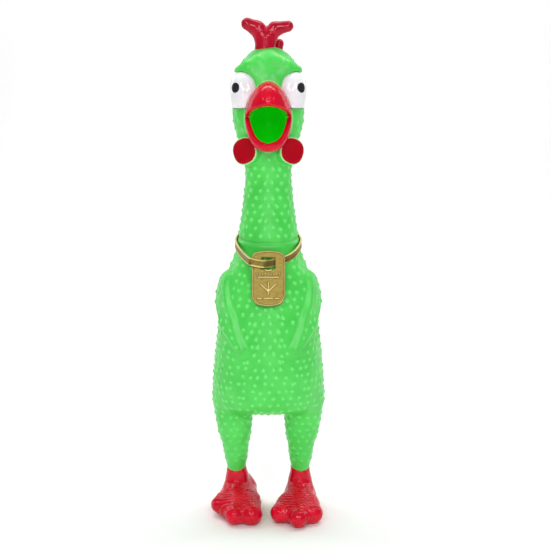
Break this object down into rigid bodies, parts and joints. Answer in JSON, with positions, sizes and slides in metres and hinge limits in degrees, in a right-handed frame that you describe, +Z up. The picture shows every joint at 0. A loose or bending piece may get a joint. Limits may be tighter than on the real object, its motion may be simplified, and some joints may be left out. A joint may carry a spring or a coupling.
{
  "type": "rubber chicken",
  "caption": "Upright green rubber chicken with a wide-open red beak, bulging eyes, folded wings, red feet and a tag on a collar; it cries when squeezed.",
  "frame": {"origin": "on the ground, midway between the feet, in the middle of the bird's overall depth", "axes": "+Z up, the bird faces -Y, +X is the bird's own left"},
  "size_m": [0.092, 0.1078, 0.4],
  "materials": {
    "green_vinyl": "gloss",
    "red_vinyl": "gloss",
    "white_enamel": "gloss",
    "black_enamel": "gloss",
    "gold_coating": "satin",
    "ivory_plastic": "satin",
    "reed_film": "gloss"
  },
  "bodies": {
    "torso": {"torso_shell": "green_vinyl", "collar_band": "gold_coating"},
    "belly": {"belly_wall": "green_vinyl"},
    "neck": {"neck_shell": "green_vinyl", "squeaker_barrel": "ivory_plastic", "squeaker_cap": "ivory_plastic", "reed_carrier": "ivory_plastic", "reed_block": "ivory_plastic", "reed_clamp": "ivory_plastic"},
    "reed": {"reed_tongue": "reed_film"},
    "head": {"head_shell": "green_vinyl", "comb": "red_vinyl", "comb_rear_lobe": "red_vinyl", "upper_beak": "red_vinyl", "lower_beak": "red_vinyl", "left_wattle": "red_vinyl", "right_wattle": "red_vinyl", "left_eye": "white_enamel", "right_eye": "white_enamel", "left_pupil": "black_enamel", "right_pupil": "black_enamel"},
    "left_leg": {"left_leg_shell": "green_vinyl", "left_foot": "red_vinyl"},
    "right_leg": {"right_leg_shell": "green_vinyl", "right_foot": "red_vinyl"},
    "tag": {"tag": "gold_coating"}
  },
  "joints": [
    {"name": "neck_bend", "type": "hinge", "parent": "torso", "child": "neck", "pos_m": [0, 0, 0.236], "axis": [1, 0, 0], "range_deg": [-18, 18], "stiffness_Nm_per_rad": 3},
    {"name": "head_tilt", "type": "hinge", "parent": "neck", "child": "head", "pos_m": [0, 0, 0.288], "axis": [0, 1, 0], "range_deg": [-18, 18], "stiffness_Nm_per_rad": 2},
    {"name": "left_hip", "type": "hinge", "parent": "torso", "child": "left_leg", "pos_m": [0.0265, 0, 0.084], "axis": [1, 0, 0], "range_deg": [-15, 15], "stiffness_Nm_per_rad": 5},
    {"name": "right_hip", "type": "hinge", "parent": "torso", "child": "right_leg", "pos_m": [-0.0265, 0, 0.084], "axis": [1, 0, 0], "range_deg": [-15, 15], "stiffness_Nm_per_rad": 5},
    {"name": "belly_press", "type": "slide", "parent": "torso", "child": "belly", "axis": [0, 1, 0], "range_m": [0, 0.01], "stiffness_N_per_m": 600},
    {"name": "tag_swing", "type": "hinge", "parent": "torso", "child": "tag", "pos_m": [0, -0.03338, 0.212], "axis": [-1, 0, 0], "range_deg": [0, 11]},
    {"name": "reed_flex", "type": "hinge", "parent": "neck", "child": "reed", "pos_m": [0, -0.00187, 0.2465], "axis": [1, 0, 0], "range_deg": [-1, 3], "stiffness_Nm_per_rad": 0.0005}
  ]
}
